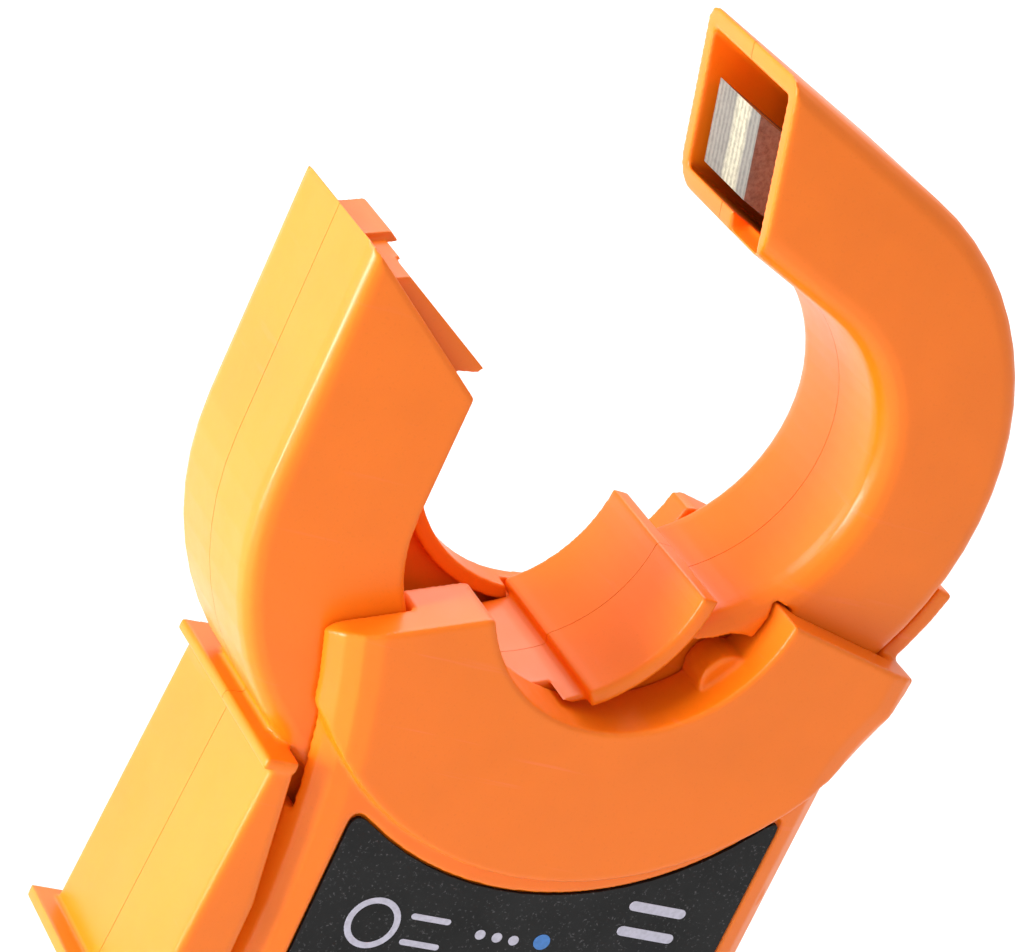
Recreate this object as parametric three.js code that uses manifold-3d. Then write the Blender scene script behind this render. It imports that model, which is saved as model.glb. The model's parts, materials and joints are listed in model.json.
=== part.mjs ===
// A clamp meter with its jaws held open: millimetres, +Z up along the handle, the face towards -Y,
// the origin on the bottom end. The jaw ring is drawn closed in a frame of its own,
// (v, u) across and along the jaws' axis, and the moving half is then swung open about the pivot.
import * as THREE from 'three';
import { mergeVertices } from 'three/addons/utils/BufferGeometryUtils.js';
import Module from 'manifold-3d';

const wasm = await Module();
wasm.setup();

// ---------------------------------------------------------------- driving dimensions

const GAP = 0.3;                    // clearance between pieces that touch
const SEAM = GAP / 2;               // each half stops this far from the parting plane y = 0

const FAR = 30;                     // past every face in depth
const HIGH = 210;                   // past the top of the case

const CASE_LEFT = -35;              // x of the handle's two sides
const CASE_RIGHT = 40;
const MID = (CASE_LEFT + CASE_RIGHT) / 2;
const CASE_BACK = 18.5;             // y of the back
const HANDLE_FRONT = -16.5;         // y of the handle's face, 2 mm below the head pad
const HEAD_FRONT = -18.5;           // y of the raised head pad
const CASE_WALL = 2.2;
const CASE_CORNER = 9;
const CASE_FILLET = 6.5;
const LIP_DEPTH = 13.3;             // the shoulders' lips reach in to this |y| beside the jaws
const COLLAR_DEPTH = -8.5;          // y to which the front recess collar reaches
const SHOULDER_LEFT = [-42.3, 147.1];
const RECESS_LEFT = [-23.5, 154.4];
const RECESS_RIGHT = [19.6, 163];
const SHOULDER_RIGHT = [44, 158.5];
const SHOULDER_CORNER = 4;
const SHELF = { x0: -31, x1: -22, z: 138 };  // left shoulder's deeper stretch, beside the recess
const FRONT_RECESS = { x: -2.7, z: 164.8, r: 22.3 };
const REAR_RECESS = { x: -2.7, z: 167, r: 21.3 };
const HEAD_PAD = { x: -3.2, z: 165.4, r: 45.8 };

const RING = { x: 0.95, z: 179.8 };  // centre of the closed jaw ring
const RING_TILT = 15.9;              // the jaws' axis leans this far left of the handle's axis
const RING_INNER = 23.2;
const RING_OUTER = 43.1;
const MOVING_INNER = 22;             // the moving jaw's own inner wall, square at its edges
const ARM_ANGLE = 55;                // the ring runs straight to the tips beyond this angle
const JAW_HALF_DEPTH = 13;
const JAW_WALL = 2.2;
const JAW_FILLET = 2.4;
const INNER_FILLET = 3.4;            // of the fixed jaw, round the opening
const CORE_INNER = 27.2;
const CORE_OUTER = 36.6;
const CORE_FRONT = -3.2;
const CORE_BACK = 8.8;
const COIL_MARGIN = 1.2;

const PIVOT = { x: 16.7, z: 151.2 };
const OPEN_ANGLE = 39.1;             // turns the closed ring's left half to where the jaw stands open
const SWING = 37.8;                  // the jaw's tip meets the fixed one after this much closing
const PIN_RADIUS = 1.6;
const PIN_FRONT = -12.6;             // y of the pin's two ends
const PIN_BACK = 16.2;
const EYE_RADIUS = 4.75;
const CHEEK_RADIUS = 6;
const BOSS_RADIUS = 4;
const STEP_FRONT = -8.2;             // y of the moving jaw's stepped-back heel, behind the collar
const HEEL_STEP = 241;               // ring angle from which the whole heel is stepped back
const SWEEP_STEPS = 13;

const GUARD_INNER = 20.5;
const GUARD_OUTER = 22.9;
const GUARD_FROM = 263;              // ring angles of the heel guard, jaws closed
const GUARD_TO = 318;
const GUARD_HALF_DEPTH = 15;

const PAD_TOP = [-41.9, 127.6];      // outer face of the thumb pad, jaws open
const PAD_BOTTOM = [-44.2, 85.6];
const PAD_HALF_DEPTH = 16.5;
const ARM_HALF_DEPTH = 9.5;
const FLANGE_FRONT = -16.8;
const FLANGE_BACK = 18.4;

const DIAL = { x: MID, z: 82, r: 17 };
const HOLD = { x: 27, z: 106, r: 3.8 };
const WINDOW = { x: MID, z: 40, w: 46, h: 22 };
const JACKS = [MID - 19, MID, MID + 19];
const JACK_Z = 14;
const BOARD_FRONT = -11.5;
const BOARD_BACK = -9.9;
const BATTERY = { z0: 22, z1: 70.5, w: 26.5, y0: -1.5, y1: 16 };
const DOOR = { halfWidth: 15.7, top: 73.5, y0: 16.6 };
const SCREWS = [[-29, 8], [34, 8], [-29.5, 66], [34, 122]];

// ---------------------------------------------------------------- materials

function plastic(color, roughness = 0.45) {
  return new THREE.MeshStandardMaterial({ color, roughness, metalness: 0 });
}

function metal(color, roughness = 0.35) {
  return new THREE.MeshStandardMaterial({ color, roughness, metalness: 1 });
}

const ORANGE = plastic(0xf37d2d);
const ORANGE_LIGHT = plastic(0xf68a3a);
const BLACK = plastic(0x2b292a, 0.6);
const DARK_GREY = plastic(0x3c3d40, 0.5);
const BOARD_GREEN = plastic(0x1f6b3a, 0.5);
const LCD_GREY = plastic(0x9aa58c, 0.3);
const CLEAR = plastic(0xc9d6d8, 0.1);
const BLUE = plastic(0x2a62a8, 0.4);
const RED = plastic(0xb5202a, 0.4);
const STEEL = metal(0xb8b4a8);
const COPPER = metal(0xb06a3a);
const BRASS = metal(0xc9a24a);

// ---------------------------------------------------------------- geometry helpers

const radians = THREE.MathUtils.degToRad;

// points of an arc in degrees, both ends included
function arc(x, z, r, from, to, step = 6) {
  const n = Math.max(1, Math.ceil(Math.abs(to - from) / step));
  return Array.from({ length: n + 1 }, (_, i) => {
    const a = radians(from + (to - from) * i / n);
    return [x + r * Math.cos(a), z + r * Math.sin(a)];
  });
}

function circle(x, z, r, step = 15) {
  return arc(x, z, r, 0, 360 - step, step);
}

function rectangle(x0, z0, x1, z1) {
  return [[x0, z0], [x1, z0], [x1, z1], [x0, z1]];
}

function roundedRectangle(x0, z0, x1, z1, r, step = 22.5) {
  return [
    ...arc(x1 - r, z0 + r, r, 270, 360, step), ...arc(x1 - r, z1 - r, r, 0, 90, step),
    ...arc(x0 + r, z1 - r, r, 90, 180, step), ...arc(x0 + r, z0 + r, r, 180, 270, step),
  ];
}

// an outline in the (x, z) plane, extruded along Y, with rounded edges if fillet is given
function slab(points, y0, y1, fillet = 0, segments = 3) {
  const shape = new THREE.Shape(points.map(([x, z]) => new THREE.Vector2(x, z)));
  const geometry = new THREE.ExtrudeGeometry(shape, {
    depth: y1 - y0 - 2 * fillet,
    bevelEnabled: fillet > 0,
    bevelThickness: fillet,
    bevelSize: fillet,
    bevelOffset: -fillet,
    bevelSegments: segments,
  });
  return geometry.rotateX(Math.PI / 2).translate(0, y1 - fillet, 0);
}

function block(x0, x1, y0, y1, z0, z1) {
  const geometry = new THREE.BoxGeometry(x1 - x0, y1 - y0, z1 - z0);
  return geometry.translate((x0 + x1) / 2, (y0 + y1) / 2, (z0 + z1) / 2);
}

// a round solid about the line through (x, z) along +Y: profile holds [radius, y] pairs
function turned(x, z, profile, sides = 24) {
  const points = profile.map(([r, y]) => new THREE.Vector2(r, y));
  return new THREE.LatheGeometry(points, sides).translate(x, 0, z);
}

function solid(geometry) {
  const bare = geometry.clone();
  for (const name of ['normal', 'uv', 'color']) {
    bare.deleteAttribute(name);
  }
  const merged = mergeVertices(bare, 1e-4);
  const made = new wasm.Manifold(new wasm.Mesh({
    numProp: 3,
    vertProperties: new Float32Array(merged.attributes.position.array),
    triVerts: new Uint32Array(merged.index.array),
  }));
  return made.volume() < 0 ? flipped(merged) : made;
}

// the same surface with its faces turned outwards
function flipped(merged) {
  const order = Array.from(merged.index.array);
  for (let i = 0; i < order.length; i += 3) {
    [order[i + 1], order[i + 2]] = [order[i + 2], order[i + 1]];
  }
  return new wasm.Manifold(new wasm.Mesh({
    numProp: 3,
    vertProperties: new Float32Array(merged.attributes.position.array),
    triVerts: new Uint32Array(order),
  }));
}

const asSolid = piece => (piece.isBufferGeometry ? solid(piece) : piece);

function join(...pieces) {
  return pieces.map(asSolid).reduce((a, b) => a.add(b));
}

function cut(piece, ...tools) {
  return tools.map(asSolid).reduce((a, b) => a.subtract(b), asSolid(piece));
}

function common(a, b) {
  return asSolid(a).intersect(asSolid(b));
}

function geometryOf(piece) {
  const mesh = piece.getMesh();
  const geometry = new THREE.BufferGeometry();
  const xyz = new Float32Array(mesh.numVert * 3);
  for (let i = 0; i < mesh.numVert; i += 1) {
    for (let k = 0; k < 3; k += 1) {
      xyz[3 * i + k] = mesh.vertProperties[mesh.numProp * i + k];
    }
  }
  geometry.setAttribute('position', new THREE.BufferAttribute(xyz, 3));
  geometry.setIndex(Array.from(mesh.triVerts));
  return geometry;
}

// turns the (x, z) plane anticlockwise, as seen from the face
function turn(centre, degrees) {
  return new THREE.Matrix4().makeTranslation(centre.x, 0, centre.z)
    .multiply(new THREE.Matrix4().makeRotationY(-radians(degrees)))
    .multiply(new THREE.Matrix4().makeTranslation(-centre.x, 0, -centre.z));
}

const ringPlace = new THREE.Matrix4().makeTranslation(RING.x, 0, RING.z)
  .multiply(new THREE.Matrix4().makeRotationY(-radians(RING_TILT)));
const openPlace = turn(PIVOT, OPEN_ANGLE).multiply(ringPlace);
const matingPlace = turn(PIVOT, SWING).multiply(ringPlace);

// a slab drawn in the ring's own frame, placed as part of the fixed or the moving jaw
function fixedSlab(...drawn) {
  return slab(...drawn).applyMatrix4(ringPlace);
}

function movingSlab(...drawn) {
  return slab(...drawn).applyMatrix4(openPlace);
}

// everything that a piece passes through while it turns about the pivot by the opening angle
function sweep(geometry, sense) {
  const copies = Array.from({ length: SWEEP_STEPS + 1 }, (_, i) => {
    const step = sense * SWING * i / SWEEP_STEPS;
    return solid(geometry.clone().applyMatrix4(turn(PIVOT, step)));
  });
  return copies.reduce((a, b) => a.add(b));
}

const model = new THREE.Group();

function part(name, piece, material) {
  const geometry = piece.isBufferGeometry ? piece : geometryOf(piece);
  const mesh = new THREE.Mesh(geometry, material);
  mesh.name = name;
  model.add(mesh);
}

// ---------------------------------------------------------------- outlines in the ring's frame

// where the straight arm of radius r meets the line v = const
function armHeight(r, v) {
  return (r - v * Math.cos(radians(ARM_ANGLE))) / Math.sin(radians(ARM_ANGLE));
}

// the right half of the ring between two radii, from its tip at v to ring angle heel
function rightHalf(inner, outer, v, heel, step = 6) {
  return [
    [v, armHeight(inner, v)],
    ...arc(0, 0, inner, ARM_ANGLE, heel, step),
    ...arc(0, 0, outer, heel, ARM_ANGLE, step),
    [v, armHeight(outer, v)],
  ];
}

function mirrored(points) {
  return points.map(([v, u]) => [-v, u]).reverse();
}

// a curved band between two radii
function band(inner, outer, from, to, step = 6) {
  return [...arc(0, 0, inner, from, to, step), ...arc(0, 0, outer, to, from, step)];
}

const tilt = radians(RING_TILT);
const PIVOT_V = (PIVOT.x - RING.x) * Math.cos(tilt) + (PIVOT.z - RING.z) * Math.sin(tilt);
const PIVOT_U = (PIVOT.z - RING.z) * Math.cos(tilt) - (PIVOT.x - RING.x) * Math.sin(tilt);
const PIVOT_ANGLE = THREE.MathUtils.radToDeg(Math.atan2(PIVOT_U, PIVOT_V));
const HEEL = -90;                    // the jaws meet again at the foot of their axis
const OVERRUN = 12;                  // outlines run this far past a plane that trims them

const fixedSide = block(0.3, 80, -30, 30, -80, 80).applyMatrix4(ringPlace);
const movingSide = block(-80, -0.3, -30, 30, -80, 80).applyMatrix4(matingPlace);

// ---------------------------------------------------------------- case

// a smooth bend from one point to another, drawn towards the corner between them
function bend([x0, z0], [cx, cz], [x1, z1], steps = 5) {
  const curve = new THREE.QuadraticBezierCurve(
    new THREE.Vector2(x0, z0), new THREE.Vector2(cx, cz), new THREE.Vector2(x1, z1));
  return curve.getPoints(steps).map(p => [p.x, p.y]);
}

// the case seen from the face, with its sides run straight up past the shoulders
function caseOutline(inset = 0) {
  const left = CASE_LEFT + inset;
  const right = CASE_RIGHT - inset;
  const c = CASE_CORNER;
  const top = 195;
  return [
    ...arc(CASE_LEFT + c, c, c - inset, 180, 270, 15),
    ...arc(CASE_RIGHT - c, c, c - inset, 270, 360, 15),
    ...bend([right, 139], [right + 0.4, 147], [SHOULDER_RIGHT[0] - inset, 152]),
    [SHOULDER_RIGHT[0] + 1 - inset, top],
    [SHOULDER_LEFT[0] - 4 + inset, top],
    ...bend([SHOULDER_LEFT[0] + inset, SHOULDER_LEFT[1]], [-36 + inset, 130], [left, 108]),
  ];
}

// the space above the shoulders, whose outer corners are rounded, lowered by drop
function overhead(drop = 0) {
  const [lx, lz] = SHOULDER_LEFT;
  const [rx, rz] = SHOULDER_RIGHT;
  const r = SHOULDER_CORNER;
  const leftLean = Math.atan2(RECESS_LEFT[1] - lz, RECESS_LEFT[0] - lx);
  const rightLean = Math.atan2(RECESS_RIGHT[1] - rz, rx - RECESS_RIGHT[0]);
  const leftZ = lz + r * Math.tan(leftLean) - r / Math.cos(leftLean) - drop;
  const rightZ = rz + r * Math.tan(rightLean) - r / Math.cos(rightLean) - drop;
  const degrees = THREE.MathUtils.radToDeg;
  return [
    [lx - 20, leftZ],
    ...arc(lx + r, leftZ, r, 180, 90 + degrees(leftLean), 15),
    [RECESS_LEFT[0], RECESS_LEFT[1] - drop],
    [RECESS_RIGHT[0], RECESS_RIGHT[1] - drop],
    ...arc(rx - r, rightZ, r, 90 - degrees(rightLean), 0, 15),
    [rx + 20, rightZ],
    [rx + 20, HIGH],
    [lx - 20, HIGH],
  ];
}

function shelf(margin = 0) {
  return rectangle(SHELF.x0 - margin, SHELF.z - margin, SHELF.x1 + margin, HIGH);
}

function recess({ x, z, r }, margin = 0, step = 6) {
  return arc(x, z, r + margin, 0, 360 - step, step);
}

// the room that the heel guard needs as the jaw swings
const guardPath = sweep(movingSlab(
  band(GUARD_INNER - 0.4, GUARD_OUTER + 0.35, GUARD_FROM - RING_TILT - 1,
    GUARD_TO - RING_TILT + 1, 9), -GUARD_HALF_DEPTH - 1, GUARD_HALF_DEPTH + 1), -1);

const handleBlock = slab(caseOutline(), HANDLE_FRONT, CASE_BACK, CASE_FILLET, 4);
const headBlock = common(
  slab(caseOutline(), HEAD_FRONT, CASE_BACK, CASE_FILLET, 4),
  slab(circle(HEAD_PAD.x, HEAD_PAD.z, HEAD_PAD.r, 5), -FAR, 0));
const wholeCase = join(handleBlock, headBlock);
const hollow = slab(caseOutline(CASE_WALL), HANDLE_FRONT + CASE_WALL, CASE_BACK - CASE_WALL);
const headHollow = common(
  slab(caseOutline(CASE_WALL), HEAD_FRONT + CASE_WALL, 0),
  slab(circle(HEAD_PAD.x, HEAD_PAD.z, HEAD_PAD.r - CASE_WALL, 6), -FAR, FAR));
const caseInside = join(hollow, headHollow);

const headSlot = block(-60, -28, -LIP_DEPTH, LIP_DEPTH, 121, 170);
const triggerSlot = block(-60, -28, -ARM_HALF_DEPTH - 0.7, ARM_HALF_DEPTH + 0.7, 83, 128);

// room inside the case for the back of the fixed jaw
const ringRoom = slab(circle(RING.x, RING.z, RING_OUTER + GAP, 6), -LIP_DEPTH, LIP_DEPTH);

// the fence on the right shoulder that follows the fixed jaw's back, and its foot between the lips
const fenceBand = (to, halfDepth) => slab(
  band(RING_OUTER + GAP, RING_OUTER + 2.9, -36, to, 6), -halfDepth, halfDepth)
  .translate(RING.x, 0, RING.z);
const fence = join(
  fenceBand(-13, 11.5), cut(fenceBand(-18, LIP_DEPTH + 1), slab(overhead(), -FAR, FAR)));

function boss([x, z], y0, y1, r = 3.4) {
  return slab(circle(x, z, r, 20), y0, y1);
}

function frontCase() {
  const lips = common(slab(overhead(CASE_WALL + 0.3), HEAD_FRONT + 1, -LIP_DEPTH), wholeCase);
  const collar = common(
    slab(recess(FRONT_RECESS, CASE_WALL), HEAD_FRONT + 1, COLLAR_DEPTH), wholeCase);
  const ledge = common(slab(shelf(), HEAD_FRONT + 1, COLLAR_DEPTH), wholeCase);
  const pivotBoss = slab(circle(PIVOT.x, PIVOT.z, BOSS_RADIUS, 20), -LIP_DEPTH - 1, COLLAR_DEPTH);
  const inFront = block(-80, 80, -FAR, -SEAM, -5, HIGH);
  const shell = common(cut(wholeCase, caseInside, headSlot, triggerSlot, ringRoom), inFront);
  const posts = SCREWS.map(at => boss(at, HANDLE_FRONT + 1, -SEAM));
  const pilots = SCREWS.map(at => boss(at, -12, 5, 1.6));
  const jackHoles = JACKS.map(x => slab(circle(x, JACK_Z, 6.2), -FAR, 0));
  const open = cut(join(shell, lips, collar, ledge, ...posts), slab(overhead(), -FAR, FAR));
  return cut(
    join(cut(join(open, common(fence, inFront)), slab(recess(FRONT_RECESS), -FAR, 0)), pivotBoss),
    slab(circle(PIVOT.x, PIVOT.z, PIN_RADIUS + GAP, 20), PIN_FRONT - GAP, 0),
    slab(labelOutline(GAP), -FAR, HANDLE_FRONT + 0.9),
    slab(windowOutline(0), -FAR, 0),
    slab(circle(DIAL.x, DIAL.z, 5.4, 20), -FAR, 0),
    slab(circle(HOLD.x, HOLD.z, HOLD.r + GAP, 20), -FAR, 0),
    ...jackHoles,
    ...pilots);
}

function rearCase() {
  const lips = common(slab(overhead(CASE_WALL + 0.3), LIP_DEPTH, CASE_BACK - 1), wholeCase);
  const rim = common(slab(recess(REAR_RECESS, CASE_WALL), LIP_DEPTH, CASE_BACK - 1), wholeCase);
  const pivotBoss = slab(circle(PIVOT.x, PIVOT.z, BOSS_RADIUS, 20), LIP_DEPTH, CASE_BACK - 1);
  const behind = block(-80, 80, SEAM, FAR, -5, HIGH);
  const shell = common(cut(wholeCase, caseInside, headSlot, triggerSlot, ringRoom), behind);
  const posts = SCREWS.map(at => boss(at, SEAM, CASE_BACK - 1));
  const shanks = SCREWS.map(at => boss(at, -1, FAR, 1.6));
  const heads = SCREWS.map(at => boss(at, CASE_BACK - 2.6, FAR, 3));
  const { halfWidth, top, y0 } = DOOR;
  const floor = block(MID - 18, MID + 18, y0 - GAP - 2, y0 - GAP, 3, top + 3);
  const reach = halfWidth + GAP;
  const doorway = block(MID - reach, MID + reach, y0 - GAP, FAR, -2, top + GAP);
  const room = BATTERY.w / 2 + 0.4;
  const open = cut(
    join(cut(shell, doorway), lips, rim, pivotBoss, floor, ...posts),
    slab(overhead(), -FAR, FAR));
  return cut(
    join(open, common(fence, behind)),
    slab(recess(REAR_RECESS), 0, FAR),
    guardPath,
    slab(circle(PIVOT.x, PIVOT.z, PIN_RADIUS + GAP, 20), 0, CASE_BACK - 2),
    block(MID - room, MID + room, 0, FAR, BATTERY.z0 - 0.5, BATTERY.z1 + 0.5),
    ...shanks,
    ...heads);
}

function windowOutline(inset) {
  const halfWidth = WINDOW.w / 2 - inset;
  const halfHeight = WINDOW.h / 2 - inset;
  return roundedRectangle(WINDOW.x - halfWidth, WINDOW.z - halfHeight,
    WINDOW.x + halfWidth, WINDOW.z + halfHeight, 1.5, 45);
}

// the black face: a rounded panel whose top edge follows the head pad
function labelOutline(margin = 0) {
  const r = 4;
  const corner = 3;
  const left = -28 - margin;
  const right = 33.4 + margin;
  const bottom = 5.5 - margin;
  const top = { x: -2.9, z: 160.7, r: 44.3 - margin };
  const edge = x => top.z - Math.sqrt(top.r ** 2 - (x - top.x) ** 2);
  const angle = x => THREE.MathUtils.radToDeg(Math.atan2(edge(x) - top.z, x - top.x));
  return [
    ...arc(left + r, bottom + r, r, 180, 270, 22.5),
    ...arc(right - r, bottom + r, r, 270, 360, 22.5),
    ...bend([right, edge(right) - corner], [right, edge(right)], [right - corner, edge(right - corner)]),
    ...arc(top.x, top.z, top.r, angle(right - corner), angle(left + corner), 5).slice(1, -1),
    ...bend([left + corner, edge(left + corner)], [left, edge(left)], [left, edge(left) - corner]),
  ];
}

part('front_case', frontCase(), ORANGE);
part('rear_case', rearCase(), ORANGE);

// ---------------------------------------------------------------- moving jaw

const collarZone = slab(recess(FRONT_RECESS, CASE_WALL + 0.7, 15), -FAR, STEP_FRONT);
const shelfZone = slab(shelf(0.5), -FAR, STEP_FRONT);
const collarTool = join(
  sweep(geometryOf(cut(join(collarZone, shelfZone), slab(recess(FRONT_RECESS, -0.6, 15), -FAR, 0),
    slab(overhead(-0.5), -FAR, FAR))), 1),
  slab(circle(PIVOT.x, PIVOT.z, BOSS_RADIUS + 0.5, 20), -FAR, STEP_FRONT));

// the web that carries the moving jaw's cheeks out to the pivot
function heelWeb(margin = 0) {
  const r = CHEEK_RADIUS - 0.3 + margin;
  return [[-4, PIVOT_U - r], [PIVOT_V, PIVOT_U - r], [PIVOT_V, PIVOT_U + r], [-4, PIVOT_U + r]];
}

const triggerBody = [[-40.4, 131], [-41.6, 85.4], [-24, 85.4], [-9, 97], [-6, 123]];
const triggerInside = [[-38.4, 131], [-39.2, 87.6], [-24.8, 87.6], [-11.2, 98], [-8.2, 123]];
const padOutline = [PAD_TOP, PAD_BOTTOM, [-35.5, 85.6], [-35.6, 108], [-38.5, 127.6]];
const upperFlange = [[-43.2, 127.3], [-38.5, 127.5], [-38.6, 129], [-43.1, 128.9]];
const lowerFlange = [[-47.4, 84], [-35.5, 84], [-35.5, 85.8], [-47.4, 85.8]];

// one half of the moving jaw's moulding, without the step behind the collar
function movingHalf(y0, y1, sign) {
  const span = (from, to) => [Math.min(sign * from, sign * to), Math.max(sign * from, sign * to)];
  const half = block(-100, 100, y0, y1, 0, 250);
  const rounded = mirrored(rightHalf(MOVING_INNER - 4, RING_OUTER, -OVERRUN, HEEL - OVERRUN));
  const square = mirrored(rightHalf(MOVING_INNER, RING_OUTER + 4, -OVERRUN, HEEL - OVERRUN));
  const ring = common(common(
    movingSlab(rounded, -JAW_HALF_DEPTH, JAW_HALF_DEPTH, JAW_FILLET),
    movingSlab(square, -FAR, FAR)), movingSide);
  const guard = movingSlab(
    band(GUARD_INNER, GUARD_OUTER, GUARD_FROM - RING_TILT, GUARD_TO - RING_TILT),
    -GUARD_HALF_DEPTH, GUARD_HALF_DEPTH);
  const guardRoot = common(movingSlab(
    band(GUARD_INNER, MOVING_INNER + 1, GUARD_FROM - RING_TILT, 269), -8, 12), movingSide);
  const outside = join(ring, guard, guardRoot,
    slab(triggerBody, -ARM_HALF_DEPTH, ARM_HALF_DEPTH),
    slab(padOutline, -PAD_HALF_DEPTH, PAD_HALF_DEPTH, 0.8, 2),
    slab(upperFlange, FLANGE_FRONT, FLANGE_BACK),
    slab(lowerFlange, FLANGE_FRONT, FLANGE_BACK));
  const inside = join(
    movingSlab(mirrored(rightHalf(MOVING_INNER + JAW_WALL, RING_OUTER - JAW_WALL, -OVERRUN,
      HEEL - OVERRUN)), ...span(-1, JAW_HALF_DEPTH - JAW_WALL)),
    cut(slab(triggerInside, ...span(-1, ARM_HALF_DEPTH - 2)),
      movingSlab(mirrored(band(0, RING_OUTER, -180, 180, 6).slice(0, -1)), -FAR, FAR)));
  return common(cut(outside, inside), half);
}

function movingFront() {
  const half = movingHalf(-FAR, -SEAM, -1);
  const plate = [mirrored(band(MOVING_INNER + 1, RING_OUTER - 0.5, HEEL, -20)), heelWeb(),
    circle(PIVOT_V, PIVOT_U, CHEEK_RADIUS, 15)];
  const step = plate.map(outline => movingSlab(outline, STEP_FRONT, STEP_FRONT + 2));
  step[0] = common(step[0], movingSide);
  const heelFront = movingSlab(band(GUARD_OUTER, RING_OUTER + 7, HEEL_STEP, 275), -FAR, STEP_FRONT);
  return cut(join(half, ...step), collarTool, heelFront,
    slab(circle(PIVOT.x, PIVOT.z, PIN_RADIUS + GAP, 20), -FAR, 0));
}

function movingRear() {
  const half = movingHalf(SEAM, FAR, 1);
  const cheek = [heelWeb(), circle(PIVOT_V, PIVOT_U, CHEEK_RADIUS, 15)]
    .map(outline => movingSlab(outline, JAW_HALF_DEPTH - JAW_WALL, JAW_HALF_DEPTH));
  return cut(join(half, ...cheek), slab(circle(PIVOT.x, PIVOT.z, PIN_RADIUS + GAP, 20), 0, FAR));
}

part('moving_jaw_front_shell', movingFront(), ORANGE_LIGHT);
part('moving_jaw_rear_shell', movingRear(), ORANGE_LIGHT);

// ---------------------------------------------------------------- fixed jaw

// what the moving jaw takes up with some clearance, at every angle between open and closed
const envelopeOutline = mirrored(
  rightHalf(MOVING_INNER - 0.3, RING_OUTER + 0.4, -OVERRUN, HEEL - OVERRUN, 15));
const movingEnvelope = geometryOf(join(
  common(
    movingSlab(envelopeOutline, -JAW_HALF_DEPTH - 0.6, JAW_HALF_DEPTH + 0.6),
    block(-80, 0.1, -30, 30, -80, 80).applyMatrix4(matingPlace)),
  movingSlab(heelWeb(0.5), -FAR, FAR)));
const movingPath = join(sweep(movingEnvelope, -1), guardPath);
const cheekPath = slab(circle(PIVOT.x, PIVOT.z, CHEEK_RADIUS + 0.6, 12), -FAR, FAR);

// the tongue's nose, whose foot the inner wall of the fixed jaw's socket makes way for
const NOSE = 4.2;                    // how far the nose stands out, at its inner and outer end
const NOSE_OUTER = 3.1;
const NOSE_WALL = 4.8;
const NOSE_STEP = 1.2;               // the wall's end stands this much further out than the nose's
const POCKET_FRONT = JAW_WALL - JAW_HALF_DEPTH + 0.5;
const POCKET_BACK = JAW_HALF_DEPTH - JAW_WALL - 0.8;
const innerWall = RING_INNER + JAW_WALL + 0.6;
const outerWall = RING_OUTER - JAW_WALL - 0.5;
const poleSide = CORE_FRONT - GAP;
const ROOT = -6;                     // the tongue reaches this far into the moving jaw

function foot(margin) {
  const bottom = armHeight(innerWall, NOSE) - margin;
  return [[1.3 - margin, armHeight(innerWall, 1.3) - margin], [3.3 - margin, bottom],
    [NOSE + margin, bottom]];
}

const footSpace = geometryOf(join(movingSlab(
  [...foot(GAP), [NOSE + GAP, 40], [1, 40]], POCKET_FRONT - GAP, poleSide + GAP)));
const footPath = join(...Array.from({ length: 7 },
  (_, i) => footSpace.clone().applyMatrix4(turn(PIVOT, i / 2 - SWING))));

function fixedHalf(y0, y1, sign) {
  const rounded = rightHalf(RING_INNER - 4, RING_OUTER, -OVERRUN, HEEL - OVERRUN);
  const opening = rightHalf(RING_INNER, RING_OUTER + 5, -OVERRUN, HEEL - OVERRUN);
  const y = [sign * -1, sign * (JAW_HALF_DEPTH - JAW_WALL)].sort((a, b) => a - b);
  const inside = fixedSlab(
    rightHalf(RING_INNER + JAW_WALL, RING_OUTER - JAW_WALL, -OVERRUN, HEEL - OVERRUN), ...y);
  const ring = common(common(
    fixedSlab(rounded, -JAW_HALF_DEPTH, JAW_HALF_DEPTH, JAW_FILLET),
    fixedSlab(opening, -JAW_HALF_DEPTH, JAW_HALF_DEPTH, INNER_FILLET, 4)), fixedSide);
  return cut(common(cut(ring, inside), block(-100, 100, y0, y1, 0, 250)), movingPath, cheekPath);
}

const collarClearance = join(
  cut(slab(recess(FRONT_RECESS, CASE_WALL + GAP), -FAR, STEP_FRONT),
    slab(recess(FRONT_RECESS, -GAP), -FAR, 0), slab(overhead(-GAP), -FAR, FAR)),
  slab(circle(PIVOT.x, PIVOT.z, BOSS_RADIUS + GAP, 20), -FAR, STEP_FRONT));

part('fixed_jaw_front_shell',
  cut(fixedHalf(-FAR, -SEAM, -1), collarClearance, footPath), ORANGE_LIGHT);
part('fixed_jaw_rear_shell', fixedHalf(SEAM, FAR, 1), ORANGE_LIGHT);

// ---------------------------------------------------------------- magnetic cores and coils

// the core of one jaw: full section along the ring, then half of it lapped about the pivot
function core(place, side, tip, foot, lapY, mirror) {
  const outline = rightHalf(CORE_INNER, CORE_OUTER, -OVERRUN, foot, 8);
  const main = common(
    place(mirror ? mirrored(outline) : outline, CORE_FRONT, CORE_BACK),
    block(tip, 80, -30, 30, -80, 80).applyMatrix4(side));
  const inner = (CORE_INNER + CORE_OUTER) / 2 - EYE_RADIUS;
  const lap = band(inner, inner + 2 * EYE_RADIUS, mirror ? HEEL - 4 : PIVOT_ANGLE,
    mirror ? PIVOT_ANGLE : -64, 4);
  return cut(
    join(main, place(lap, ...lapY), place(circle(PIVOT_V, PIVOT_U, EYE_RADIUS, 15), ...lapY)),
    slab(circle(PIVOT.x, PIVOT.z, PIN_RADIUS + GAP, 20), -FAR, FAR));
}

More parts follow.
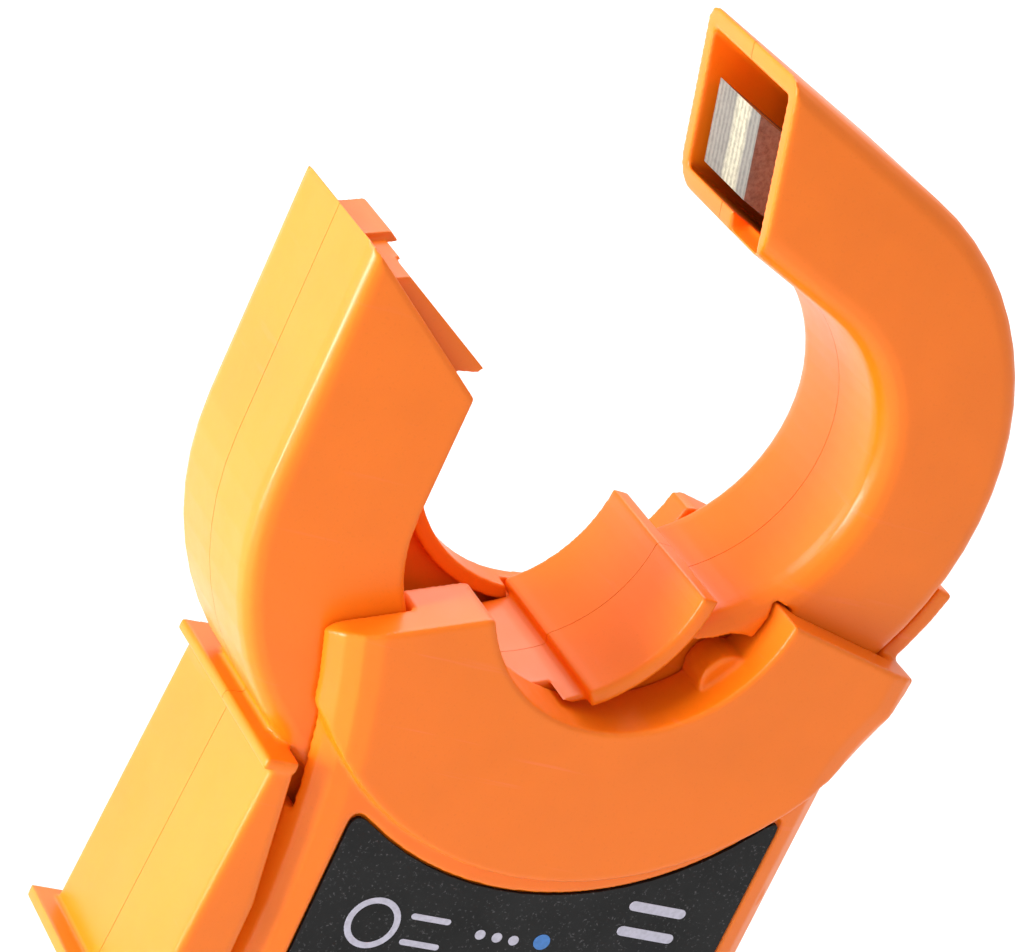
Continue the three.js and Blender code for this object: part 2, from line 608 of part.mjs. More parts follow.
// a winding wrapped around part of a core
function coil(place, from, to) {
  const m = COIL_MARGIN;
  return cut(
    place(band(CORE_INNER - m - GAP, CORE_OUTER + m + GAP, from, to, 7),
      CORE_FRONT - m - GAP, CORE_BACK + m),
    place(band(CORE_INNER - GAP, CORE_OUTER + GAP, from - 5, to + 5, 5),
      CORE_FRONT - GAP, CORE_BACK + 0.2));
}

const MIDDLE = (CORE_FRONT + CORE_BACK) / 2;
const FIXED_TIP = 1.5;               // the fixed pole face lies this far behind the mating plane
const mirrorPlace = matingPlace.clone().multiply(new THREE.Matrix4().makeScale(-1, 1, 1));

part('fixed_jaw_core', core(fixedSlab, ringPlace, FIXED_TIP, -66,
  [CORE_FRONT, MIDDLE - SEAM], false), STEEL);
part('moving_jaw_core', core(movingSlab, mirrorPlace, 0.6, HEEL - OVERRUN,
  [MIDDLE + SEAM, CORE_BACK], true), STEEL);
part('fixed_jaw_coil', coil(fixedSlab, -28, 34), COPPER);
part('moving_jaw_coil', coil(movingSlab, 146, 214), COPPER);

// the plastic block beside the fixed pole face, and the tongue that closes over it: a nose in
// front of the moving pole and a wall outside it, both inside the fixed jaw's walls when shut
const BLOCK_V = 6;

part('fixed_pole_block', fixedSlab([
  [BLOCK_V, armHeight(innerWall, BLOCK_V)], [14, armHeight(innerWall, 14)],
  [14, armHeight(outerWall - 3, 14)], [BLOCK_V, armHeight(outerWall - 3, BLOCK_V)]],
POCKET_FRONT, poleSide), ORANGE);

const nose = movingSlab([
  [ROOT, armHeight(innerWall, -ROOT)], ...foot(0),
  [NOSE_OUTER, armHeight(outerWall, NOSE_OUTER) - NOSE_STEP],
  [0, armHeight(outerWall, 0) - NOSE_STEP],
  [ROOT, armHeight(outerWall, -ROOT) - NOSE_STEP]],
POCKET_FRONT, poleSide);

// the part of the tongue outside the pole: v of its end, how far it is stepped in, y of both faces
function wall(v, step, y0, y1) {
  const coreSide = CORE_OUTER + 0.8;
  return movingSlab([
    [ROOT, armHeight(coreSide, -ROOT)], [1.2, armHeight(coreSide, -1.2)],
    [v, armHeight(coreSide + 1.5, v)], [v, armHeight(outerWall, v) - step],
    [0, armHeight(outerWall, 0) - step], [ROOT, armHeight(outerWall, -ROOT) - step]], y0, y1);
}

const noseRim = wall(NOSE_OUTER + 0.5, NOSE_STEP, poleSide - 1, 1);
const noseWall = wall(NOSE_WALL, 0, 0.2, POCKET_BACK);
part('moving_pole_tongue', join(nose, noseRim, noseWall), ORANGE);

part('jaw_pivot_pin', turned(PIVOT.x, PIVOT.z,
  [[0, PIN_FRONT], [1.2, PIN_FRONT], [PIN_RADIUS, PIN_FRONT + 0.4],
    [PIN_RADIUS, PIN_BACK - 0.4], [1.2, PIN_BACK], [0, PIN_BACK]], 20), STEEL);

// ---------------------------------------------------------------- jaw return spring

// a coil of round wire: a helix of the given turns swept by an octagonal section
function spring(at, axis, radius, wire, length, turns) {
  class Helix extends THREE.Curve {
    getPoint(t, target = new THREE.Vector3()) {
      const a = 2 * Math.PI * turns * t;
      return target.set(radius * Math.cos(a), radius * Math.sin(a), length * t);
    }
  }
  const section = new THREE.Shape(
    circle(0, 0, wire, 60).map(([x, y]) => new THREE.Vector2(x, y)));
  const geometry = new THREE.ExtrudeGeometry(section, {
    steps: Math.round(turns * 10), bevelEnabled: false, extrudePath: new Helix(),
  });
  const aim = new THREE.Quaternion().setFromUnitVectors(new THREE.Vector3(0, 0, 1), axis);
  return geometry.applyQuaternion(aim).translate(...at);
}

// ---------------------------------------------------------------- face, window and display

part('face_label', cut(
  slab(labelOutline(), HANDLE_FRONT + 0.05, HANDLE_FRONT + 0.6),
  slab(windowOutline(0.6), -FAR, 0),
  slab(circle(DIAL.x, DIAL.z, 5.6, 20), -FAR, 0),
  slab(circle(HOLD.x, HOLD.z, HOLD.r + GAP, 20), -FAR, 0),
  ...JACKS.map(x => slab(circle(x, JACK_Z, 6.2, 20), -FAR, 0))), BLACK);

part('display_window', slab(windowOutline(GAP), HANDLE_FRONT + 0.95, -14.4), CLEAR);
part('display_panel', block(WINDOW.x - 25, WINDOW.x + 25, -14.1, -11.8,
  WINDOW.z - 14, WINDOW.z + 14), LCD_GREY);

part('circuit_board', cut(
  slab([[-30, 5], [35, 5], [35, 114], [0, 114], [-22, 96], [-30, 84]], BOARD_FRONT, BOARD_BACK),
  ...SCREWS.map(at => boss(at, -FAR, 0, 3.8)),
  ...JACKS.map(x => slab(circle(x, JACK_Z, 3.2, 20), -FAR, 0))), BOARD_GREEN);

// ---------------------------------------------------------------- dial and hold button

const knobFront = HANDLE_FRONT - 4.6;
const knobDisc = slab(circle(DIAL.x, DIAL.z, DIAL.r, 10), HANDLE_FRONT - 2.4, HANDLE_FRONT - 0.3,
  0.7, 2);
const knobBar = slab(
  roundedRectangle(DIAL.x - 4.2, DIAL.z - 16.4, DIAL.x + 4.2, DIAL.z + 16.4, 4, 30),
  knobFront, HANDLE_FRONT - 1, 1, 2);
const knobHub = slab(circle(DIAL.x, DIAL.z, 4.9, 20), HANDLE_FRONT - 1, -14.2);
part('range_dial', join(knobDisc, knobBar, knobHub), DARK_GREY);
part('dial_rotor', slab(circle(DIAL.x, DIAL.z, 12, 15), -13.9, -12.9), DARK_GREY);
for (const [n, side] of [['1', 1], ['2', -1]]) {
  const near = DIAL.x + side * 3;
  const far = DIAL.x + side * 10;
  part(`dial_wiper_${n}`, slab(
    [[near, DIAL.z + 4], [near, DIAL.z - 4], [far, DIAL.z - 1.2], [far, DIAL.z + 1.2]],
    -12.6, -11.8), BRASS);
}
part('hold_button', join(
  slab(circle(HOLD.x, HOLD.z, HOLD.r, 18), HANDLE_FRONT - 1.8, -14.3, 0.5, 2),
  slab(circle(HOLD.x, HOLD.z, HOLD.r + 0.9, 18), -14.1, -13.5),
  slab(circle(HOLD.x, HOLD.z, 2, 30), -15, -13.7)), BLUE);
part('hold_switch', block(HOLD.x - 3, HOLD.x + 3, -12.6, -11.8, HOLD.z - 3, HOLD.z + 3),
  DARK_GREY);

// ---------------------------------------------------------------- input jacks

JACKS.forEach((x, i) => {
  part(`input_jack_${i + 1}`, turned(x, JACK_Z, [
    [4.6, -14], [4.6, HANDLE_FRONT - 0.4], [5.8, HANDLE_FRONT - 0.4], [5.8, -12.2], [2.9, -12.2],
    [2.9, -14], [4.6, -14]], 20), i === 1 ? DARK_GREY : RED);
  part(`jack_contact_${i + 1}`, turned(x, JACK_Z, [
    [2, -15.6], [2.6, -15.6], [2.6, -2], [2, -2], [2, -15.6]], 16), BRASS);
});

// ---------------------------------------------------------------- rear: battery, buzzer, screws

part('buzzer', turned(22, 92, [[0, -9.6], [8, -9.6], [8, -5.6], [1.4, -5.6], [1.4, -6.6],
  [0, -6.6]], 20), DARK_GREY);
const halfBattery = BATTERY.w / 2;
part('battery', slab(rectangle(MID - halfBattery, BATTERY.z0, MID + halfBattery, BATTERY.z1),
  BATTERY.y0, BATTERY.y1, 1.2, 2), DARK_GREY);
part('battery_snap', block(MID - 12, MID + 12, 1, 13, BATTERY.z1 + GAP, BATTERY.z1 + 3.6), BLACK);

// a lead bent once between the snap and the board
function lead(x, z) {
  const path = new THREE.CatmullRomCurve3([
    new THREE.Vector3(x, 6, BATTERY.z1 + 3.9), new THREE.Vector3(x, 6, BATTERY.z1 + 8),
    new THREE.Vector3(x, 1, z - 2), new THREE.Vector3(x, -6, z),
    new THREE.Vector3(x, BOARD_BACK + GAP, z)]);
  const section = new THREE.Shape(
    circle(0, 0, 0.7, 60).map(([a, b]) => new THREE.Vector2(a, b)));
  return new THREE.ExtrudeGeometry(section, {
    steps: 14, bevelEnabled: false, extrudePath: path,
  });
}

part('battery_lead_red', lead(MID - 3, 88), RED);
part('battery_lead_black', lead(MID + 3, 88), BLACK);

const doorPlate = common(wholeCase, block(MID - DOOR.halfWidth, MID + DOOR.halfWidth, DOOR.y0, FAR,
  -2, DOOR.top));
const doorRidges = [0, 1, 2].map(i => block(MID - 8, MID + 8, CASE_BACK - 1, CASE_BACK + 0.6,
  DOOR.top - 10 - 3 * i, DOOR.top - 8.6 - 3 * i));
part('battery_cover', join(doorPlate, ...doorRidges), ORANGE);

SCREWS.forEach(([x, z], i) => {
  part(`case_screw_${i + 1}`, turned(x, z, [
    [0, -9.5], [1.3, -8.5], [1.3, CASE_BACK - 2.9 + GAP], [2.6, CASE_BACK - 2.9 + GAP],
    [2.6, CASE_BACK - 1.2], [1.9, CASE_BACK - 0.7], [0, CASE_BACK - 0.7]], 16), STEEL);
});

part('jaw_return_spring', spring([-7, 0, 108], new THREE.Vector3(1, 0, 0), 3, 0.5, 13, 6), STEEL);

export default model;
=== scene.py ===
import json
import math

import bmesh
import bpy
from mathutils import Matrix, Vector


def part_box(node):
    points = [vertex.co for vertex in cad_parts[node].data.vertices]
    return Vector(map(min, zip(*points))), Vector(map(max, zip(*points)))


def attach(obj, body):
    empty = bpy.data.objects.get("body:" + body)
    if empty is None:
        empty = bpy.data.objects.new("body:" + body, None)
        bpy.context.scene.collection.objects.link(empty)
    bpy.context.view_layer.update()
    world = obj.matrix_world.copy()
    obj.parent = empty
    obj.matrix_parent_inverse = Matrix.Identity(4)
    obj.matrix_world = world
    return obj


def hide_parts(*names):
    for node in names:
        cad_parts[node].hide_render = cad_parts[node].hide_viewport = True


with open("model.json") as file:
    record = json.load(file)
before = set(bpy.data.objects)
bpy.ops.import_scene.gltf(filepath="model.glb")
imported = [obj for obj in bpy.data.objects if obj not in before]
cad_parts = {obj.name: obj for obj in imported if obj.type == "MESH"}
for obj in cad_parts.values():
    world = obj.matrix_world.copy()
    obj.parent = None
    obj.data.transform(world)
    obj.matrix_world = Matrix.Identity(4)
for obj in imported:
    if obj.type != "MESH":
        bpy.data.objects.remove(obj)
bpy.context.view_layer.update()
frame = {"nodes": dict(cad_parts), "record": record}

MM = 0.001
NODES = frame["nodes"]
SLOT_OF = {row["node"]: row["material_slot"] for row in frame["record"]["subparts"]}
SEAM = 0.15 * MM            # the halves' solids stop this far from the parting plane y = 0
SEAM_LEFT = 0.05 * MM       # and the moulded halves this far, which leaves a fine line
SEAM_OVERRUN = 2 * MM
PRINT_DEPTH = 0.05 * MM
ORANGE = (0.89, 0.178, 0.003)
PAINT = {}


# ------------------------------------------------------------------ camera and studio

def camera():
    """Looks down from the front left with the meter leaning across the picture."""
    right = Vector((0.8356, -0.3709, 0.4053))
    up = Vector((-0.2056, 0.4729, 0.8568))
    back = right.cross(up)
    data = bpy.data.cameras.new("camera")
    data.sensor_width = 36
    data.lens = 140.76
    data.clip_start = 0.02
    data.clip_end = 50
    eye = bpy.data.objects.new("camera", data)
    turn = Matrix((right, up, back)).transposed().to_4x4()
    eye.matrix_world = Matrix.Translation((-0.2772, -0.4067, 0.3288)) @ turn
    bpy.context.scene.collection.objects.link(eye)
    bpy.context.scene.camera = eye


def softbox(name, place, target, size, power):
    data = bpy.data.lights.new(name, "AREA")
    data.shape = "RECTANGLE"
    data.size, data.size_y = size
    data.energy = power
    lamp = bpy.data.objects.new(name, data)
    lamp.location = place
    lamp.visible_camera = False
    aim = Vector(target) - Vector(place)
    lamp.rotation_euler = aim.to_track_quat("-Z", "Y").to_euler()
    bpy.context.scene.collection.objects.link(lamp)


def studio():
    world = bpy.data.worlds.new("studio")
    bpy.context.scene.world = world
    world.use_nodes = True
    world.node_tree.nodes["Background"].inputs["Color"].default_value = (1, 1, 1, 1)
    world.node_tree.nodes["Background"].inputs["Strength"].default_value = 0.72
    middle = (0, 0, 0.17)
    softbox("key_left", (-1.15, 0.35, 0.45), middle, (0.9, 0.9), 14)
    softbox("low_strip", (-0.50, -0.06, 0.06), (0, -0.01, 0.20), (0.10, 0.30), 4.0)
    softbox("back_floor", (0.45, 1.0, 1.5), (0.35, 0.75, 0), (1.4, 1.4), 22)
    bpy.context.scene.view_settings.view_transform = "Standard"

    below_the_end = -0.4 * MM
    bpy.ops.mesh.primitive_plane_add(size=14, location=(0, 0, below_the_end))
    floor = bpy.context.object
    floor.name = "floor"
    floor.data.materials.append(floor_material())


# ------------------------------------------------------------------ material kit

class Shader:
    """A material's node tree, with short calls for the nodes used here."""

    def __init__(self, name, roughness=0.5, metallic=0.0):
        self.material = bpy.data.materials.new(name)
        self.material.use_nodes = True
        self.tree = self.material.node_tree
        self.out = self.tree.nodes["Principled BSDF"]
        self.out.inputs["Roughness"].default_value = roughness
        self.out.inputs["Metallic"].default_value = metallic
        self.place = self.node("ShaderNodeTexCoord").outputs["Object"]

    def node(self, kind, **settings):
        made = self.tree.nodes.new(kind)
        for key, value in settings.items():
            setattr(made, key, value)
        return made

    def link(self, source, target):
        self.tree.links.new(source, target)

    def stretched(self, scale, turn=(0, 0, 0)):
        made = self.node("ShaderNodeMapping")
        made.inputs["Scale"].default_value = scale
        made.inputs["Rotation"].default_value = turn
        self.link(self.place, made.inputs["Vector"])
        return made.outputs["Vector"]

    def noise(self, scale, detail=3.0, roughness=0.5, at=None):
        made = self.node("ShaderNodeTexNoise")
        made.inputs["Scale"].default_value = scale
        made.inputs["Detail"].default_value = detail
        made.inputs["Roughness"].default_value = roughness
        self.link(at or self.place, made.inputs["Vector"])
        return made.outputs["Fac"]

    def ramp(self, source, stops):
        made = self.node("ShaderNodeValToRGB")
        elements = made.color_ramp.elements
        while len(elements) < len(stops):
            elements.new(0.5)
        for element, (position, color) in zip(elements, stops):
            element.position = position
            element.color = color if len(color) == 4 else (*color, 1)
        self.link(source, made.inputs["Fac"])
        return made.outputs["Color"]

    def grey_ramp(self, source, low, high, start=0.3, end=0.7):
        return self.ramp(source, [(start, (low,) * 3), (end, (high,) * 3)])

    def mix(self, factor, a, b):
        made = self.node("ShaderNodeMix", data_type="RGBA")
        sockets = made.inputs["Factor"], made.inputs[6], made.inputs[7]
        for socket, value in zip(sockets, (factor, a, b)):
            if hasattr(value, "links"):
                self.link(value, socket)
            else:
                socket.default_value = value
        return made.outputs[2]

    def math(self, operation, a, b):
        made = self.node("ShaderNodeMath", operation=operation)
        for socket, value in zip(made.inputs, (a, b)):
            if hasattr(value, "links"):
                self.link(value, socket)
            else:
                socket.default_value = value
        return made.outputs["Value"]

    def color(self, source):
        self.link(source, self.out.inputs["Base Color"])

    def roughness(self, source):
        self.link(source, self.out.inputs["Roughness"])

    def bump(self, *layers):
        """layers are (height, strength, distance in mm), finest last"""
        normal = None
        for height, strength, distance in layers:
            made = self.node("ShaderNodeBump")
            made.inputs["Strength"].default_value = strength
            made.inputs["Distance"].default_value = distance * MM
            self.link(height, made.inputs["Height"])
            if normal is not None:
                self.link(normal, made.inputs["Normal"])
            normal = made.outputs["Normal"]
        self.link(normal, self.out.inputs["Normal"])


def shade(color, factor):
    return tuple(min(1.0, c * factor) for c in color)


def floor_material():
    s = Shader("pale_floor", roughness=0.7)
    s.color(s.ramp(s.noise(4, 2), [(0.3, (0.90, 0.90, 0.90)), (0.7, (0.93, 0.93, 0.925))]))
    return s.material


def moulded_plastic(name, base, roughness, sub=0.0, grain=0.25, scratches=0.0, coat=0.0):
    """Injection-moulded ABS: faint cloudiness, worn sheen, a fine skin and a few light scuffs."""
    s = Shader(name, roughness)
    cloud = s.noise(45, 3, 0.55)
    fine = s.noise(900, 2, 0.5)
    tone = s.ramp(cloud, [(0.25, shade(base, 0.93)), (0.5, base), (0.78, shade(base, 1.05))])
    speck = s.ramp(s.noise(2600, 1, 0.4), [(0.30, (1, 1, 1)), (0.36, (0, 0, 0))])
    tone = s.mix(s.math("MULTIPLY", speck, 0.12), tone, (*shade(base, 0.72), 1))
    streak = s.noise(1.0, 3, 0.6, s.stretched((26, 60, 420), (0.3, 0.25, 0.45)))
    scuff = s.math("MULTIPLY", s.ramp(streak, [(0.66, (0, 0, 0)), (0.72, (1, 1, 1))]), 0.10 + scratches)
    red, green, _ = shade(base, 1.25)
    s.color(s.mix(scuff, tone, (red, green, 0.12, 1)))
    s.roughness(s.grey_ramp(s.noise(70, 4, 0.6), roughness - 0.06, roughness + 0.10))
    s.bump((cloud, 0.10, 0.4), (streak, 0.05, 0.05), (fine, grain, 0.02))
    s.out.inputs["Specular IOR Level"].default_value = 0.3
    s.out.inputs["Coat Weight"].default_value = coat
    s.out.inputs["Coat Roughness"].default_value = 0.22
    if sub:
        s.out.inputs["Subsurface Weight"].default_value = sub
        s.out.inputs["Subsurface Radius"].default_value = (1.0, 0.25, 0.05)
        s.out.inputs["Subsurface Scale"].default_value = 0.0012
    return s.material


def printed_film(name, base):
    """The black face: a matt film with a fine light speckle."""
    s = Shader(name, 0.55)
    grain = s.noise(2400, 2, 0.6)
    glint = (0.09, 0.085, 0.09)
    speck = s.ramp(grain, [(0.56, shade(base, 0.8)), (0.64, shade(base, 2.2)), (0.72, glint)])
    s.color(s.mix(s.math("MULTIPLY", s.noise(30, 3), 0.5), speck, (*shade(base, 1.5), 1)))
    s.roughness(s.grey_ramp(s.noise(160, 3), 0.46, 0.62))
    s.bump((grain, 0.35, 0.03))
    s.out.inputs["Specular IOR Level"].default_value = 0.25
    return s.material


def ink(name, base):
    """Screen-printed ink, a little uneven in tone."""
    s = Shader(name, 0.5)
    edge = s.noise(1500, 2, 0.6)
    s.color(s.ramp(edge, [(0.35, shade(base, 0.85)), (0.6, base)]))
    s.bump((edge, 0.1, 0.01))
    return s.material


def laminated_steel(name, depth):
    """The ground end of a stack of laminations: thin leaves along Y, a bright band between two
    duller ones, and a fine grit. depth is the stack's lowest and highest y."""
    s = Shader(name, 0.5, 0.2)
    split = s.node("ShaderNodeSeparateXYZ")
    s.link(s.place, split.inputs["Vector"])
    low, high = depth
    along = s.node("ShaderNodeMapRange")
    s.link(split.outputs["Y"], along.inputs["Value"])
    along.inputs["From Min"].default_value = low
    along.inputs["From Max"].default_value = high
    wander = s.math("MULTIPLY", s.math("SUBTRACT", s.noise(300, 2), 0.5), 0.10)
    place = s.math("ADD", along.outputs["Result"], wander)
    dull, bright = (0.20, 0.185, 0.16), (0.44, 0.41, 0.30)
    bands = s.ramp(place, [(0.20, dull), (0.27, bright), (0.52, bright), (0.60, dull),
                           (1.0, shade(dull, 1.15))])
    leaves = s.node("ShaderNodeTexWave", bands_direction="Y")
    s.link(s.place, leaves.inputs["Vector"])
    leaves.inputs["Scale"].default_value = 320
    leaves.inputs["Distortion"].default_value = 0.6
    grit = s.noise(1500, 3, 0.7)
    mottle = s.math("ADD", s.math("MULTIPLY", leaves.outputs["Fac"], 0.25), grit)
    lines = s.grey_ramp(mottle, 0.45, 1.0, 0.45, 0.75)
    tone = s.node("ShaderNodeMix", data_type="RGBA", blend_type="MULTIPLY")
    tone.inputs["Factor"].default_value = 0.8
    s.link(bands, tone.inputs[6])
    s.link(lines, tone.inputs[7])
    s.color(tone.outputs[2])
    s.roughness(s.grey_ramp(grit, 0.35, 0.6))
    s.bump((leaves.outputs["Fac"], 0.25, 0.05), (grit, 0.4, 0.02))
    return s.material


def metal(name, base, roughness):
    """Bright metal, brushed along Z."""
    s = Shader(name, roughness, 1.0)
    grain = s.noise(1.0, 3, 0.6, s.stretched((900, 900, 60)))
    s.color(s.ramp(grain, [(0.3, shade(base, 0.82)), (0.7, shade(base, 1.08))]))
    s.roughness(s.grey_ramp(s.noise(220, 3), roughness - 0.08, roughness + 0.12))
    s.bump((grain, 0.15, 0.02))
    return s.material


def winding(name, base):
    """Enamelled wire laid side by side, with painted shade in the grooves between the wires."""
    s = Shader(name, 0.28, 0.9)
    wires = s.node("ShaderNodeTexWave", bands_direction="DIAGONAL")
    s.link(s.place, wires.inputs["Vector"])
    wires.inputs["Scale"].default_value = 900
    # painted shade: the wave's low parts, the grooves between wires, are coloured darker than the wire
    s.color(s.ramp(wires.outputs["Fac"], [(0.1, shade(base, 0.4)), (0.7, base)]))
    s.bump((wires.outputs["Fac"], 0.8, 0.12))
    return s.material


def circuit(name):
    """Green solder mask over faint copper tracks."""
    s = Shader(name, 0.35)
    tracks = s.node("ShaderNodeTexBrick")
    s.link(s.stretched((300, 300, 300)), tracks.inputs["Vector"])
    tracks.inputs["Color1"].default_value = (0.010, 0.13, 0.045, 1)
    tracks.inputs["Color2"].default_value = (0.016, 0.17, 0.06, 1)
    tracks.inputs["Mortar"].default_value = (0.03, 0.26, 0.10, 1)
    s.color(tracks.outputs["Color"])
    s.bump((tracks.outputs["Fac"], 0.4, 0.05))
    return s.material


def window_glass(name):
    """Clear acrylic with a slightly worn face."""
    s = Shader(name, 0.06)
    s.out.inputs["Base Color"].default_value = (0.93, 0.95, 0.95, 1)
    s.out.inputs["Transmission Weight"].default_value = 1.0
    s.out.inputs["IOR"].default_value = 1.49
    s.roughness(s.grey_ramp(s.noise(120, 3), 0.04, 0.10))
    return s.material


def lcd(name, base):
    """The display's grey reflector."""
    s = Shader(name, 0.25)
    cells = s.noise(1600, 1, 0.5)
    s.color(s.ramp(cells, [(0.35, shade(base, 0.94)), (0.65, base)]))
    s.roughness(s.grey_ramp(s.noise(200, 2), 0.2, 0.32))
    return s.material


def paints():
    PAINT["case"] = moulded_plastic("case_orange", ORANGE, 0.38, sub=0.08, scratches=0.10, coat=0.18)
    PAINT["jaw"] = moulded_plastic("jaw_orange", shade(ORANGE, 1.02), 0.36, sub=0.08, coat=0.18)
    low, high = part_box("fixed_jaw_core")
    PAINT["core_steel"] = laminated_steel("core_laminations", (low[1], high[1]))
    PAINT["inner_block"] = moulded_plastic("block_orange", (0.80, 0.14, 0.003), 0.65, sub=0.08,
                                           grain=0.4)
    PAINT["copper"] = winding("enamelled_wire", (0.72, 0.30, 0.12))
    PAINT["steel"] = metal("screw_steel", (0.62, 0.61, 0.59), 0.3)
    PAINT["brass"] = metal("contact_brass", (0.80, 0.58, 0.24), 0.28)
    PAINT["face"] = printed_film("face_film", (0.0062, 0.0062, 0.0064))
    PAINT["window"] = window_glass("window_acrylic")
    PAINT["display"] = lcd("display_reflector", (0.45, 0.50, 0.41))
    PAINT["board"] = circuit("board_mask")
    PAINT["dial"] = moulded_plastic("dial_grey", (0.045, 0.046, 0.050), 0.42, grain=0.4)
    PAINT["dark_plastic"] = moulded_plastic("black_plastic", (0.022, 0.022, 0.024), 0.5, grain=0.4)
    PAINT["button"] = moulded_plastic("button_blue", (0.03, 0.14, 0.45), 0.38)
    PAINT["jack_red"] = moulded_plastic("jack_red", (0.50, 0.018, 0.02), 0.4)
    PAINT["battery"] = moulded_plastic("battery_sleeve", (0.05, 0.05, 0.055), 0.3)
    PAINT["print"] = ink("face_print", (0.52, 0.50, 0.60))
    PAINT["print_blue"] = ink("face_print_blue", (0.05, 0.20, 0.55))
    PAINT["segments"] = ink("display_segments", (0.03, 0.035, 0.03))


def dress(piece, slot):
    piece.data.materials.clear()
    piece.data.materials.append(PAINT[slot])


# ------------------------------------------------------------------ flat shapes

def new_piece(name, vertices, faces, slot, body, finish=None):
    """A mesh piece that rides on a body and wears a finish, or its slot's own."""
    mesh = bpy.data.meshes.new(name)
    mesh.from_pydata(vertices, [], faces)
    mesh.validate()
    mesh.update()
    piece = bpy.data.objects.new(name, mesh)
    bpy.context.scene.collection.objects.link(piece)
    dress(piece, finish or slot)
    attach(piece, body)
    return piece


def merged(name, shapes, *rest, **more):
    """Several (vertices, faces) shapes as one piece; the rest is what new_piece takes."""
    vertices, faces = [], []
    for points, polygons in shapes:
        start = len(vertices)
        vertices += points
        faces += [tuple(start + i for i in polygon) for polygon in polygons]
    return new_piece(name, vertices, faces, *rest, **more)


def plate(outline, front, back):
    """A closed plate in the (x, z) plane, its outline anticlockwise as seen from the face."""
    n = len(outline)
    vertices = [(x, front, z) for x, z in outline] + [(x, back, z) for x, z in outline]
    faces = [tuple(range(n)), tuple(reversed(range(n, 2 * n)))]
    faces += [(i, n + i, n + (i + 1) % n, (i + 1) % n) for i in range(n)]
    return vertices, faces


def bar(x, z, length, width, front, back, angle=0.0):
    """A plate with round ends, centred on (x, z)."""
    c, s = math.cos(angle), math.sin(angle)
    r, half = width / 2, length / 2 - width / 2
    steps = 6
    outline = []
    for end in (0, math.pi):
        for i in range(steps + 1):
            a = end - math.pi / 2 + i * math.pi / steps
            u, v = half * math.cos(end) + r * math.cos(a), r * math.sin(a)
            outline.append((x + c * u - s * v, z + s * u + c * v))
    return plate(outline, front, back)


def ring(x, z, inner, outer, front, back):
    """A flat ring about (x, z)."""
    steps = 40
    vertices, faces = [], []
    for i in range(steps):
        a = 2 * math.pi * i / steps
        c, s = math.cos(a), math.sin(a)
        vertices += [(x + inner * c, front, z + inner * s), (x + outer * c, front, z + outer * s),
                     (x + outer * c, back, z + outer * s), (x + inner * c, back, z + inner * s)]
        here, there = 4 * i, 4 * ((i + 1) % steps)
        faces += [(here + k, here + (k + 1) % 4, there + (k + 1) % 4, there + k) for k in range(4)]
    return vertices, faces


def disc(x, z, r, front, back, steps=24):
    turn = [2 * math.pi * i / steps for i in range(steps)]
    return plate([(x + r * math.cos(a), z + r * math.sin(a)) for a in turn], front, back)


def middle_of(node):
    low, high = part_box(node)
    return (Vector(low) + Vector(high)) / 2


# ------------------------------------------------------------------ moulded surfaces

def body_of(node):
    for body, members in frame["record"]["behaviour"]["bodies"].items():
        if node in members:
            return body


def applied(piece):
    """Bakes the piece's modifiers into its mesh."""
    graph = bpy.context.evaluated_depsgraph_get()
    baked = bpy.data.meshes.new_from_object(piece.evaluated_get(graph))
    piece.modifiers.clear()
    piece.data = baked


def copy_of(node):
    piece = bpy.data.objects.new(node + "_moulding", NODES[node].data.copy())
    bpy.context.scene.collection.objects.link(piece)
    return piece


def push_seam(piece, side):
    """Runs a half's parting face past the plane, so that rounding leaves its edge crisp."""
    for vertex in piece.data.vertices:
        if abs(vertex.co.y - side * SEAM) < 0.02 * MM:
            vertex.co.y = -side * SEAM_OVERRUN


def trim_seam(piece, side):
    """Cuts a half back to the parting plane and closes the cut."""
    mesh = bmesh.new()
    mesh.from_mesh(piece.data)
    result = bmesh.ops.bisect_plane(
        mesh, geom=mesh.verts[:] + mesh.edges[:] + mesh.faces[:], dist=1e-8,
        plane_co=(0, side * SEAM_LEFT, 0), plane_no=(0, -side, 0), clear_outer=True)
    edges = [e for e in result["geom_cut"] if isinstance(e, bmesh.types.BMEdge)]
    bmesh.ops.triangle_fill(mesh, use_beauty=True, use_dissolve=False, edges=edges)
    bmesh.ops.recalc_face_normals(mesh, faces=mesh.faces)
    mesh.to_mesh(piece.data)
    mesh.free()


def moulding(node, voxel=0.32, rounds=6, seam=0, keep=0.14):
    """A CAD solid as a moulded surface: fine even faces with every edge softened. voxel is in mm;
    seam is -1 or 1 for the front or rear one of two halves, 0 for a whole piece."""
    piece = copy_of(node)
    if seam:
        push_seam(piece, seam)
    remesh = piece.modifiers.new("remesh", "REMESH")
    remesh.mode = "VOXEL"
    remesh.voxel_size = voxel * MM
    smooth = piece.modifiers.new("smooth", "SMOOTH")
    smooth.factor = 0.5
    smooth.iterations = rounds
    thin = piece.modifiers.new("thin", "DECIMATE")
    thin.ratio = keep
    applied(piece)
    if seam:
        trim_seam(piece, seam)
    piece.data.shade_smooth()
    if seam:
        piece.data.set_sharp_from_angle(angle=math.radians(50))
    dress(piece, SLOT_OF[node])
    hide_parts(node)
    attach(piece, body_of(node))
    return piece


def mouldings():
    for half, side in (("front", -1), ("rear", 1)):
        moulding(f"{half}_case", seam=side)
        moulding(f"fixed_jaw_{half}_shell", seam=side)
        moulding(f"moving_jaw_{half}_shell", seam=side)
    moulding("moving_pole_tongue", 0.2, 5, keep=0.3)
    dress(moulding("fixed_pole_block", 0.2, 5, keep=0.3), "inner_block")
    moulding("battery_cover", 0.25, 5, keep=0.2)
    moulding("range_dial", 0.2, 4, keep=0.3)
    moulding("hold_button", 0.15, 4, keep=0.3)


# ------------------------------------------------------------------ print on the face

